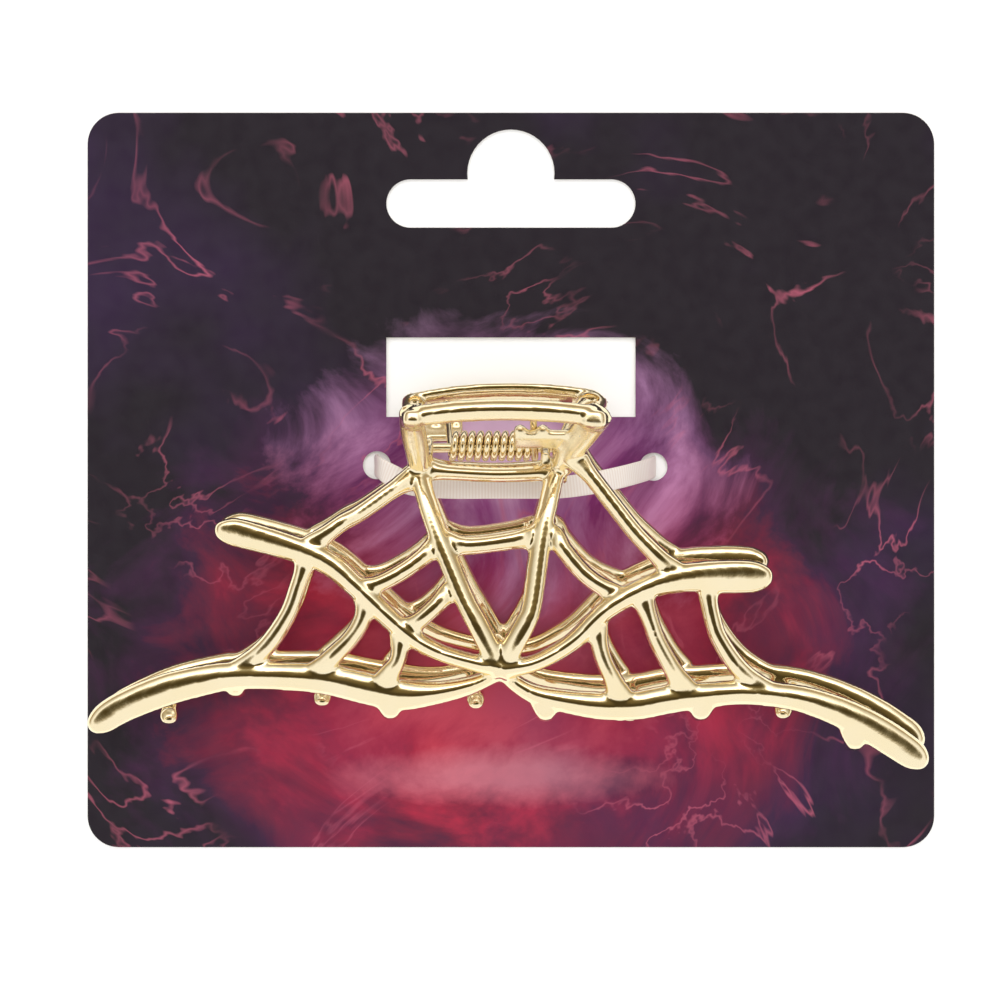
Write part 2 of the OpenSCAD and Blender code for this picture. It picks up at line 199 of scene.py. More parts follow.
WEB_THREADS = [
    [(-10.6, -3.2, 5.2, 2), (-13.1, -4.6, 6.2, 2), (-17.4, -7.5, 7.8, 2), (-20, -8.9, 8.9, 2),
     (-23.6, -11.6, 9.4, 2)],
    [(-7.7, -11.1, 8.4, 1.8), (-8.9, -12.3, 9.5, 2), (-11.9, -14.5, 10.2, 2), (-15.3, -16.3, 10.4, 2),
     (-18.4, -17.1, 10.2, 2)],
    [(-5.6, -16.4, 10, 1.8), (-7, -17.8, 11, 2), (-8.5, -19.3, 11.4, 2), (-10.5, -21, 11.4, 2),
     (-12.7, -22.3, 10.8, 2)],
    [(-24.2, -12.3, 9.3, 2.2), (-24.5, -14.2, 9.2, 2), (-25.3, -16.7, 9.3, 2), (-26.6, -20.2, 9.4, 2),
     (-29.3, -24.2, 9.4, 2.2), (-32.6, -26.8, 9, 2.2), (-36.6, -28.2, 8.8, 1.4)],
    [(-16.8, -17.2, 10.5, 2.2), (-17, -19.7, 10.5, 2), (-17.6, -21.4, 10.5, 2), (-18.9, -23.3, 10.4, 2),
     (-21.2, -25.6, 10.3, 2.2), (-23.4, -28, 10, 2.3)],
    [(-12.4, -21.9, 10.9, 2), (-12.6, -24.6, 10.9, 1.9), (-13, -26.1, 10.9, 1.9), (-13.8, -27.3, 10.8, 2.1),
     (-14.8, -29.2, 10.4, 2.3)],
    [(25.8, -15.8, 9.2, 2.2), (25.9, -18.1, 9, 2), (26.4, -20.7, 9.2, 2), (27.3, -23.3, 9.4, 2),
     (29.8, -27, 9.5, 2.2), (32.8, -29.3, 9.1, 2.2), (36.6, -30.7, 8.8, 1.4)],
    [(17.3, -17.2, 10.5, 2.2), (18.6, -20.8, 10.5, 2), (19.5, -23.3, 10.5, 2), (20.9, -26, 10.4, 2.1),
     (23.1, -29.9, 10.1, 2.3)],
    [(11.8, -20.9, 11, 2.1), (12.4, -24.2, 10.9, 2), (13, -26.1, 10.9, 2), (14, -28.2, 10.8, 2.1),
     (15.1, -30.9, 10.4, 2.3)],
    [(9, -0.4, 6.6, 2.2), (11.4, -3.2, 7.5, 2), (13.6, -6, 8.2, 2), (16.7, -9.9, 9.2, 2),
     (19.3, -12.6, 9.9, 2.1), (22, -15.4, 9.9, 2.4)],
    [(5.5, -10, 7.9, 1.8), (6.8, -10.6, 9, 2), (7.9, -12.1, 9.6, 2), (9.7, -14.3, 10, 2),
     (11.5, -15.9, 10.3, 2), (14.8, -17.9, 10.5, 1.8)]]
# A lug's two ends and its two knobs along x, for each jaw
FRONT_LUG = ((1.7, 8.8), (2.4, 5.2))
BACK_LUG = ((-4.8, -10.6), (-8.2, -5.6))
# Columns: v, w, width
LUG_SHAPE = (1.1, 7.3, 2.8)
KNOB_SHAPE = [(1.6, 7.6, 1.4), (2.2, 8.2, 1.4), (2.8, 8.8, 1.3)]
# Place of each jaw's first tooth, and how far its wing's crest lies below the hinge at each tooth
FRONT_TEETH = (-33.2, (28.1, 30.8, 31, 31, 34.9))
BACK_TEETH = (-42.4, (30.8, 28.8, 29.4, 31.3, 31.2))
TOOTH_PITCH = 19.4
# The lower wings' crest stands this far out at the middle, and drops by this times x squared
CREST_W = 10.4
CREST_DROP = 0.001
# Columns: fall below the wing, distance in from the wing's crest, width
TOOTH_ROOT = [(-0.2, 0.45, 4.2), (1.5, 0.9, 3), (2.5, 1.9, 2.1), (3, 4.6, 2)]
# Columns: fall below the wing, w, width
TOOTH_TIP = [(3.4, 1.2, 2), (3.6, -0.5, 1.9), (3.2, -1.3, 1.6)]

# The strap's route over the back jaw's legs. Columns: x, y, z on the card
STRAP_ROUTE = [
    (-17.2, 1.9, 0), (-17.2, 1.9, 3), (-17.1, 1.8, 7.5), (-16.5, 1.4, 10.7), (-15, 0.5, 12.2),
    (-12.5, -0.6, 12.6), (-8, -1, 12.4), (-2, -1, 12.2), (4, -1, 12.3), (6.9, -0.9, 12.1),
    (10.5, -0.4, 10.9), (14.2, 0.4, 8.4), (17.1, 1.2, 4.4), (18.3, 1.7, 1.6), (18.3, 1.7, 0)]
STRAP_W = 2.8
STRAP_T = 0.5
STRAP_SIDES = 28
# Powers of sin and cos that square off its section
STRAP_POWERS = (0.35, 0.6)
RIB_PITCH = 0.4
RIB_DEPTH = 0.12
RIB_ROWS = 6
# The ribs lie where the section faces outwards by more than this cosine
RIB_REACH = 0.2

# The print starts and is full at these heights on the card's edge, in metres
PRINT_LEVELS = (0.00046, 0.00048)
# How far the marbling pushes a glow's edge about, in the glow's own spreads
GLOW_DRIFT = 1.1

# Floor, in metres
FLOOR_REACH = 3.0
FLOOR_LEVEL = -0.0001

# Camera, in millimetres: its height, and the width and middle of what it sees
CAMERA_HEIGHT = 725
SENSOR_WIDTH = 36
VIEW_WIDTH = 128.5
VIEW_MIDDLE = (-1.4, -2.57)


# Surfaces

def unit(vectors):
    """Each vector divided by its length."""
    return vectors / np.linalg.norm(vectors, axis=-1, keepdims=True)


def curve_through(rows, step=STEP):
    """Catmull-Rom curve through the rows, cut at equal steps: its lengths so far, and its rows."""
    rows = np.array(rows, float)
    rows = np.vstack((2 * rows[0] - rows[1], rows, 2 * rows[-1] - rows[-2]))
    before, here, after, beyond = rows[:-3], rows[1:-2], rows[2:-1], rows[3:]
    t = np.linspace(0, 1, SPAN_POINTS, endpoint=False)[:, None, None]
    spans = 0.5 * (
        2 * here + (after - before) * t + (2 * before - 5 * here + 4 * after - beyond) * t**2
        + (3 * here - before - 3 * after + beyond) * t**3)
    curve = np.vstack((spans.transpose(1, 0, 2).reshape(-1, rows.shape[1]), after[-1]))
    steps = np.linalg.norm(np.diff(curve[:, :3], axis=0), axis=1)
    along = np.concatenate(([0], np.cumsum(steps)))
    even = np.linspace(0, along[-1], max(round(along[-1] / step), 4) + 1)
    return even, np.stack([np.interp(even, along, column) for column in curve.T], axis=1)


def nose(along, radius):
    """How wide a free end is: the height of a quarter circle over its last stretch."""
    if not radius:
        return np.ones_like(along)
    inside = 1 - np.clip(along / radius, 0, 1)
    return np.sqrt(np.clip(1 - inside**2, 0.02, 1))


def swept(along, path, out, sections):
    """Rings of points: each section (across, outwards) stands square to the path, facing out."""
    heading = unit(np.gradient(path, along, axis=0))
    out = np.broadcast_to(np.array(out, float), path.shape)
    outwards = unit(out - np.sum(out * heading, axis=1, keepdims=True) * heading)
    across = np.cross(outwards, heading)
    return path[:, None] + sections[..., :1] * across[:, None] + sections[..., 1:] * outwards[:, None]


def power(value, exponent):
    """A power of the value's size, with the value's own sign."""
    return np.sign(value) * np.abs(value) ** exponent


def rod(rows, crest, depth=ROD_DEPTH, out=VIEWER, base=1, flare=0, ends=(0, 0), blunt=0,
        lean=(0, 0, 0), sides=28):
    """One cast rod. Round its section, outwards is depth/2 times a power of sin and across is width/2
    times a power of cos: the two powers of crest on the outer half, and base on the inner half. Over
    the stretch blunt before its last end the crest turns into that of TIP_CREST. The outer half leans
    by lean times the width between its middle and its crest. A rod with a flare sinks into the rods
    that it joins: near an end, by a bell curve of the distance to it, its width grows by flare and
    its crest sinks by JOIN_TAPER. An end with a length in ends is free and shrinks to a round nose."""
    along, path = curve_through(rows)
    left = along[-1] - along
    join = np.exp(-(along / JOIN_LENGTH) ** 2) + np.exp(-(left / JOIN_LENGTH) ** 2)
    shrink = nose(along, ends[0]) * nose(left, ends[1])
    fall = nose(along, min(ends[0], END_FALL)) * nose(left, min(ends[1], END_FALL))
    fall = fall * (1 - JOIN_TAPER * join * (flare > 0))
    turn = np.linspace(0, 2 * pi, sides, endpoint=False)
    tip = np.clip(1 - left / blunt, 0, 1)[:, None] if blunt else np.zeros((len(left), 1))
    outer = np.sin(turn) > 0
    rise = power(np.sin(turn), np.where(outer, crest[0] + (TIP_CREST[0] - crest[0]) * tip, base))
    across = power(np.cos(turn), np.where(outer, crest[1] + (TIP_CREST[1] - crest[1]) * tip, base))
    width = ((path[:, 3] + SKIN_LOSS) * (1 + flare * join) * shrink)[:, None]
    sections = np.stack((width / 2 * across, depth / 2 * (fall[:, None] * rise - 1)), axis=-1)
    leaned = (width * np.maximum(rise, 0))[..., None] * np.array(lean)
    return swept(along, path[:, :3], out, sections) + leaned


def ball(centre, radii, rows=12, sides=24):
    """A ball: rings of radius sin and height cos of the angle down from its pole."""
    down = np.linspace(0.1, pi - 0.1, rows)[:, None]
    turn = np.linspace(0, 2 * pi, sides, endpoint=False)
    height = np.cos(down) * np.ones_like(turn)
    ring = np.stack((height, np.sin(down) * np.cos(turn), np.sin(down) * np.sin(turn)), axis=-1)
    return np.array(centre) + ring * np.array(radii)


def turned(profile, sides=48):
    """A shape turned about the hinge axis: each row of its profile is x and radius."""
    x, r = np.array(profile, float).T[:, :, None]
    turn = np.linspace(0, 2 * pi, sides, endpoint=False)
    return np.stack((x * np.ones_like(turn), r * np.cos(turn), r * np.sin(turn)), axis=-1)


def shell(rings):
    """A closed skin over rings of points, with a fan of triangles over each end, facing outwards."""
    n, k, _ = rings.shape
    points = np.vstack((rings.reshape(-1, 3), rings[0].mean(0), rings[-1].mean(0)))
    row, column = np.meshgrid(np.arange(n - 1), np.arange(k), indexing="ij")
    a = (row * k + column).ravel()
    b = (row * k + (column + 1) % k).ravel()
    near = np.arange(k)
    after = (near + 1) % k
    last = (n - 1) * k
    quads = np.stack((a, b, b + k, a + k), axis=1)
    fans = np.vstack((
        np.stack((after, near, np.full(k, n * k)), axis=1),
        np.stack((last + near, last + after, np.full(k, n * k + 1)), axis=1)))
    corners = points[np.vstack((quads[:, :3], quads[:, [0, 2, 3]], fans))]
    volume = np.sum(corners[:, 0] * np.cross(corners[:, 1], corners[:, 2]))
    if volume < 0:
        quads, fans = quads[:, ::-1], fans[:, ::-1]
    return points, quads, fans


def mesh_of(name, shells):
    """One mesh of several closed skins."""
    mesh = bpy.data.meshes.new(name)
    points, faces, start = [], [], 0
    for verts, quads, fans in shells:
        points.append(verts)
        faces += (quads + start).tolist() + (fans + start).tolist()
        start += len(verts)
    mesh.from_pydata(np.vstack(points), [], faces)
    mesh.polygons.foreach_set("use_smooth", np.ones(len(faces), bool))
    return mesh


def moved(mesh, change):
    """Sends all of a mesh's points through a function of an array of points."""
    points = np.empty(len(mesh.vertices) * 3)
    mesh.vertices.foreach_get("co", points)
    mesh.vertices.foreach_set("co", change(points.reshape(-1, 3)).ravel())
    mesh.update()
    return mesh


def on_card(points):
    """Clip frame to row frame: a tilt about x, then the hinge's place on the card, in metres."""
    x, v, w = points.T
    c, s = cos(radians(TILT)), sin(radians(TILT))
    return (np.stack((x, v * c - w * s, v * s + w * c), axis=1) + AXIS_PLACE) * MM


def piece(name, mesh, material, body, node):
    """A finished piece that stands for a CAD node. One with no body is attached to none."""
    obj = bpy.data.objects.new(name, mesh)
    bpy.context.scene.collection.objects.link(obj)
    mesh.materials.clear()
    mesh.materials.append(material)
    if body:
        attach(obj, body)
    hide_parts(node)
    return obj


# The two castings

def handle(raised, wider, face):
    """Two bars, two sides, and a squarish knuckle where the top bar meets each side."""
    top_bar = [(x, v + raised, w, width + wider) for x, v, w, width in TOP_BAR]
    bars = [
        rod(top_bar, SHARP_CREST, out=face, ends=(BAR_NOSE, BAR_NOSE)),
        rod(LOWER_BAR, SHARP_CREST, flare=BAR_FLARE)]
    sides = [rod(side, ROUND_CREST, depth=SIDE_DEPTH) for side in (LEFT_SIDE, RIGHT_SIDE)]
    knuckles = [
        rod(block, BLOCK_CREST, depth=KNUCKLE_DEPTH, base=BLOCK_BASE, ends=(KNUCKLE_NOSE, KNUCKLE_NOSE))
        for block in (LEFT_KNUCKLE, RIGHT_KNUCKLE)]
    return bars + sides + knuckles


def lug(ends, knobs):
    """A flat-topped lug along x for the spring's arm, and a knob on each side of the arm."""
    rows = [(x, *LUG_SHAPE) for x in ends]
    parts = [rod(rows, LUG_TOP, depth=LUG_DEPTH, out=HANDLE_FACE, base=FLAT_BASE)]
    for x in knobs:
        rows = [(x, *row) for row in KNOB_SHAPE]
        parts.append(rod(rows, KNOB_CREST, depth=KNOB_DEPTH, out=HANDLE_FACE, ends=(0, KNOB_NOSE)))
    return parts


def wings():
    """Four sharp-crested rods that spread from the hub and end in blunt, rounded tips."""
    return [
        rod(wing, SHARP_CREST, depth=WING_DEPTH, ends=(0, WING_NOSE), blunt=WING_BLUNT)
        for wing in (UPPER_LEFT_WING, UPPER_RIGHT_WING, LOWER_LEFT_WING, LOWER_RIGHT_WING)]


def teeth(first, falls):
    """Hooked rods at an even pitch, each from the lower wings' crest down and in to the other jaw."""
    parts = []
    for i, fall in enumerate(falls):
        x = first + i * TOOTH_PITCH
        crest = CREST_W - CREST_DROP * x * x
        rows = [(x, -fall - down, crest - inwards, width) for down, inwards, width in TOOTH_ROOT]
        rows += [(x, -fall - down, w, width) for down, w, width in TOOTH_TIP]
        parts.append(rod(rows, TOOTH_CREST, depth=TOOTH_DEPTH, out=DOWN, ends=(0, TOOTH_NOSE)))
    return parts


def ear(start):
    """A disc on the hinge axis, and its foot out to the handle's lower bar."""
    end = start + EAR_T
    rim = [(0, EAR_R - EAR_RIM), (EAR_RIM / 2, EAR_R - EAR_RIM / 4), (EAR_RIM, EAR_R)]
    disc = turned([(start + x, r) for x, r in rim] + [(end - x, r) for x, r in reversed(rim)])
    rows = [(end, *row) for row in EAR_FOOT]
    return [disc, rod(rows, FOOT_TOP, depth=EAR_T, out=SIDEWAYS, base=FLAT_BASE)]


def turned_about_w(rings):
    """Points turned about the line of sight by the angle that the back jaw sits at."""
    c, s = cos(radians(BACK_TURN)), sin(radians(BACK_TURN))
    return rings @ np.array([[c, s, 0], [-s, c, 0], [0, 0, 1]])


def casting(name, web, ears, hollows):
    """Skins the rods and ears as one casting with filleted joins, and cuts the bore for the pin and
    the knuckles' hollows."""
    parts = web + [part for start in ears for part in ear(start)]
    mesh = mesh_of(name, [shell(part) for part in parts])
    rough = bpy.data.objects.new(name + "_rough", mesh)
    cuts = [turned([(x, BORE_R) for x in BORE_ENDS])] + hollows
    drill = bpy.data.objects.new("drill", mesh_of("drill", [shell(cut) for cut in cuts]))
    for obj in (rough, drill):
        bpy.context.scene.collection.objects.link(obj)
    skin = rough.modifiers.new("skin", "REMESH")
    skin.mode = "VOXEL"
    skin.voxel_size = VOXEL
    skin.use_smooth_shade = True
    fillet = rough.modifiers.new("fillet", "SMOOTH")
    fillet.factor = 0.5
    fillet.iterations = FILLET_PASSES
    bore = rough.modifiers.new("bore", "BOOLEAN")
    bore.operation = "DIFFERENCE"
    bore.solver = "EXACT"
    bore.object = drill
    ready = rough.evaluated_get(bpy.context.evaluated_depsgraph_get())
    cast = bpy.data.meshes.new_from_object(ready)
    cast.name = name
    bpy.data.objects.remove(rough)
    bpy.data.objects.remove(drill)
    cast.polygons.foreach_set("use_smooth", np.ones(len(cast.polygons), bool))
    cast.set_sharp_from_angle(angle=radians(CAST_EDGE))
    return cast


def web(bar_shape, lug_shape, tooth_shape):
    """All the rods of one jaw: handle, lug, wings, legs, threads and teeth."""
    parts = handle(*bar_shape) + lug(*lug_shape) + wings()
    for leg, lean in ((LEFT_LEG, -LEG_LEAN), (RIGHT_LEG, LEG_LEAN)):
        parts.append(rod(leg, THREAD_CREST, lean=(lean, 0, 0)))
    for thread in [CROSS_THREAD] + WEB_THREADS:
        parts.append(rod(thread, THREAD_CREST, flare=THREAD_FLARE))
    return parts + teeth(*tooth_shape)


def knuckle_hollows():
    """A ball to cut from each knuckle's inner face."""
    r = KNUCKLE_HOLLOW_R
    return [ball((x, v, w), (radius, r, r)) for x, v, w, radius in KNUCKLE_HOLLOWS]


def front_casting(gold):
    """The front jaw faces the viewer, as the tables are given."""
    rods = web(FRONT_BAR, FRONT_LUG, FRONT_TEETH)
    cast = casting("front_casting", rods, FRONT_EARS, knuckle_hollows())
    return piece("front_casting", moved(cast, on_card), gold, "lifting_jaw", "front_jaw")


def back_casting(gold):
    """The back jaw faces the card: it is the same web, turned a little and mirrored in w."""
    rods = [turned_about_w(part) for part in web(BACK_BAR, BACK_LUG, BACK_TEETH)]
    hollows = [turned_about_w(part) for part in knuckle_hollows()]
    cast = casting("back_casting", rods, BACK_EARS, hollows)
    moved(cast, lambda points: on_card(points * (1, 1, -1)))
    cast.flip_normals()
    return piece("back_casting", cast, gold, "card_and_back_jaw", "back_jaw")


# Pin, spring and strap

def pin(gold):
    """A plain pin with a domed head at each end, turned about the hinge axis."""
    left, right = PIN_ENDS
    profile = [(left - x * HEAD_T, r * HEAD_R) for x, r in HEAD_DOME]
    profile += [(left, PIN_R), (right, PIN_R)]
    profile += [(right + x * HEAD_T, r * HEAD_R) for x, r in reversed(HEAD_DOME)]
    mesh = mesh_of("peened_pin", [shell(turned(profile))])
    mesh.set_sharp_from_angle(angle=radians(HEAD_EDGE))
    return piece("peened_pin", moved(mesh, on_card), gold, "card_and_back_jaw", "hinge_pin")


def spring(gold):
    """A round wire wound about the pin: the angle falls and x grows evenly along it, and an arm runs
    off straight at each end."""
    start = radians(270 - ARM_LEAN)
    sweep = radians(180 - 2 * ARM_LEAN + 360 * COIL_TURNS)
    share = np.linspace(0, 1, TURN_ROWS * COIL_TURNS)
    angle = start - sweep * share
    out = np.stack((np.zeros_like(angle), np.cos(angle), np.sin(angle)), axis=1)
    coil = out * COIL_R
    coil[:, 0] = COIL_ENDS[0] + (COIL_ENDS[1] - COIL_ENDS[0]) * share
    coil[:, 1] += COIL_LIFT
    tangent = np.stack((np.zeros_like(angle), np.sin(angle), -np.cos(angle)), axis=1)
    reach = np.linspace(1, 0.02, ARM_ROWS)[:, None]
    first = coil[0] - reach * (ARM_LENGTH * tangent[0] - (ARM_SHIFTS[0], 0, 0))
    last = coil[-1] + reach[::-1] * (ARM_LENGTH * tangent[-1] + (ARM_SHIFTS[1], 0, 0))
    path = np.vstack((first, coil, last))
    outwards = np.vstack((np.repeat(out[:1], ARM_ROWS, 0), out, np.repeat(out[-1:], ARM_ROWS, 0)))
    along = np.concatenate(([0], np.cumsum(np.linalg.norm(np.diff(path, axis=0), axis=1))))
    turn = np.linspace(0, 2 * pi, WIRE_SIDES, endpoint=False)
    size = WIRE_R * nose(along, WIRE_NOSE) * nose(along[-1] - along, WIRE_NOSE)
    sections = size[:, None, None] * np.stack((np.cos(turn), np.sin(turn)), axis=1)
    mesh = moved(mesh_of("torsion_spring", [shell(swept(along, path, outwards, sections))]), on_card)
    obj = piece("torsion_spring", mesh, gold, None, "spring")
    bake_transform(obj)
    return obj


def strap(plastic):
    """A flat band along its route. Round its section, across is half the width times a power of sin,
    and thick is half the thickness times a power of cos, less a wave of cos along the band on the
    outer face, which makes its fine ribs."""
    along, path = curve_through(STRAP_ROUTE, step=RIB_PITCH / RIB_ROWS)
    rib = RIB_DEPTH * (0.5 + 0.5 * np.cos(2 * pi * along / RIB_PITCH))
    turn = np.linspace(0, 2 * pi, STRAP_SIDES, endpoint=False)
    across = power(np.sin(turn), STRAP_POWERS[0]) * STRAP_W / 2
    thick = power(np.cos(turn), STRAP_POWERS[1]) * STRAP_T / 2
    thick = thick - rib[:, None] * (np.cos(turn) > RIB_REACH)
    sections = np.stack((thick, across * np.ones_like(thick)), axis=-1)
    mesh = mesh_of("ribbed_strap", [shell(swept(along, path, UPRIGHT, sections))])
    moved(mesh, lambda points: points * MM)
    # This attribute is 1 in the grooves between the ribs, where the strap's material paints shade
    groove_shade = np.append(np.repeat(rib / RIB_DEPTH, len(turn)), (0, 0))
    mesh.attributes.new("groove_shade", "FLOAT", "POINT").data.foreach_set("value", groove_shade)
    return piece("ribbed_strap", mesh, plastic, "card_and_back_jaw", "strap")


# Materials

def add(tree, kind, **values):
    """A node, with its settings and its sockets' values by name."""
    node = tree.nodes.new(kind)
    for name, value in values.items():
        if hasattr(node, name):
            setattr(node, name, value)
        else:
            node.inputs[name.replace("_", " ")].default_value = value
    return node


def join(tree, source, target):
    tree.links.new(source, target)


def new_material(name, **values):
    """A material with its shader, and the shader's plain values by name."""
    material = bpy.data.materials.new(name)
    material.use_nodes = True
    shader = material.node_tree.nodes["Principled BSDF"]
    for socket, value in values.items():
        shader.inputs[socket.replace("_", " ")].default_value = value
    return material, material.node_tree, shader


def ramp(tree, stops):
    """A row of colours, each at its place from 0 to 1."""
    node = tree.nodes.new("ShaderNodeValToRGB")
    bands = node.color_ramp.elements
    while len(bands) < len(stops):
        bands.new(0.5)
    for band, (place, colour) in zip(bands, stops):
        band.position = place
        band.color = (*colour, 1)
    return node


def plating_group():
    """Bright plating over metal: faint warm and pale patches, a soft ripple, fine pits, and a satin
    band across the handle, where fingers rub it."""
    group = bpy.data.node_groups.new("bright_plating", "ShaderNodeTree")
    face = group.interface
    face.new_socket("Pale", in_out="INPUT", socket_type="NodeSocketColor")
    face.new_socket("Warm", in_out="INPUT", socket_type="NodeSocketColor")
    face.new_socket("Ripple", in_out="INPUT", socket_type="NodeSocketFloat")
    face.new_socket("Satin", in_out="INPUT", socket_type="NodeSocketFloat")
    face.new_socket("Colour", in_out="OUTPUT", socket_type="NodeSocketColor")
    face.new_socket("Roughness", in_out="OUTPUT", socket_type="NodeSocketFloat")
    face.new_socket("Normal", in_out="OUTPUT", socket_type="NodeSocketVector")
    given = group.nodes.new("NodeGroupInput")
    result = group.nodes.new("NodeGroupOutput")
    place = add(group, "ShaderNodeTexCoord")
    patches = add(group, "ShaderNodeTexNoise", Scale=160, Detail=2)
    join(group, place.outputs["Object"], patches.inputs["Vector"])
    tone = add(group, "ShaderNodeMix", data_type="RGBA")
    join(group, patches.outputs["Fac"], tone.inputs["Factor"])
    join(group, given.outputs["Pale"], tone.inputs["A"])
    join(group, given.outputs["Warm"], tone.inputs["B"])
    join(group, tone.outputs["Result"], result.inputs["Colour"])
    haze = add(group, "ShaderNodeTexNoise", Scale=900, Detail=3)
    join(group, place.outputs["Object"], haze.inputs["Vector"])
    gloss = add(group, "ShaderNodeMapRange", From_Min=0.35, From_Max=0.7, To_Min=0.05, To_Max=0.13)
    join(group, haze.outputs["Fac"], gloss.inputs["Value"])
    spot = add(group, "ShaderNodeSeparateXYZ")
    join(group, place.outputs["Object"], spot.inputs["Vector"])
    centimetres = add(group, "ShaderNodeMath", operation="MULTIPLY")
    centimetres.inputs[1].default_value = 100
    join(group, spot.outputs["Y"], centimetres.inputs[0])
    worn = ramp(group, [(0.12, (0, 0, 0)), (0.3, (1, 1, 1)), (0.68, (1, 1, 1)), (0.84, (0, 0, 0))])
    join(group, centimetres.outputs["Value"], worn.inputs["Fac"])
    satin = add(group, "ShaderNodeMath", operation="MULTIPLY_ADD")
    join(group, worn.outputs["Color"], satin.inputs[0])
    join(group, given.outputs["Satin"], satin.inputs[1])
    join(group, gloss.outputs["Result"], satin.inputs[2])
    join(group, satin.outputs["Value"], result.inputs["Roughness"])
    swell = add(group, "ShaderNodeTexNoise", Scale=420, Detail=1)
    join(group, place.outputs["Object"], swell.inputs["Vector"])
    pits = add(group, "ShaderNodeTexNoise", Scale=3200, Detail=2)
    join(group, place.outputs["Object"], pits.inputs["Vector"])
    wave = add(group, "ShaderNodeBump", Distance=0.00012)
    join(group, given.outputs["Ripple"], wave.inputs["Strength"])
    join(group, swell.outputs["Fac"], wave.inputs["Height"])
    grain = add(group, "ShaderNodeBump", Strength=0.25, Distance=0.00002)
    join(group, pits.outputs["Fac"], grain.inputs["Height"])
    join(group, wave.outputs["Normal"], grain.inputs["Normal"])
    join(group, grain.outputs["Normal"], result.inputs["Normal"])
    return group


def gold_finish(name, plating, pale, warm, ripple, satin=0.0):
    """One kind of gold, with its own two shades, ripple and satin in the shared plating."""
    material, tree, shader = new_material(name, Metallic=1.0)
    skin = add(tree, "ShaderNodeGroup", node_tree=plating)
    skin.inputs["Pale"].default_value = (*pale, 1)
    skin.inputs["Warm"].default_value = (*warm, 1)
    skin.inputs["Ripple"].default_value = ripple
    skin.inputs["Satin"].default_value = satin
    join(tree, skin.outputs["Colour"], shader.inputs["Base Color"])
    join(tree, skin.outputs["Roughness"], shader.inputs["Roughness"])
    join(tree, skin.outputs["Normal"], shader.inputs["Normal"])
    return material


def strap_plastic():
    """Milky clear plastic with faint cloudy patches, and painted shade that darkens its grooves."""
    material, tree, shader = new_material(
        "milky_strap", Transmission_Weight=0.12, IOR=1.46, Roughness=0.3)
    place = add(tree, "ShaderNodeTexCoord")
    cloud = add(tree, "ShaderNodeTexNoise", Scale=300, Detail=3)
    join(tree, place.outputs["Object"], cloud.inputs["Vector"])
    colour = ramp(tree, [(0.3, (0.98, 0.91, 0.86)), (0.7, (1, 0.95, 0.91))])
    join(tree, cloud.outputs["Fac"], colour.inputs["Fac"])
    groove_shade = add(tree, "ShaderNodeAttribute", attribute_name="groove_shade")
    # Painted shade: the grooves take a darker colour
    shaded = add(tree, "ShaderNodeMix", data_type="RGBA", B=(0.9, 0.8, 0.74, 1))
    join(tree, groove_shade.outputs["Fac"], shaded.inputs["Factor"])
    join(tree, colour.outputs["Color"], shaded.inputs["A"])
    join(tree, shaded.outputs["Result"], shader.inputs["Base Color"])
    haze = add(tree, "ShaderNodeMapRange", To_Min=0.22, To_Max=0.4)
    join(tree, cloud.outputs["Fac"], haze.inputs["Value"])
    join(tree, haze.outputs["Result"], shader.inputs["Roughness"])
    return material


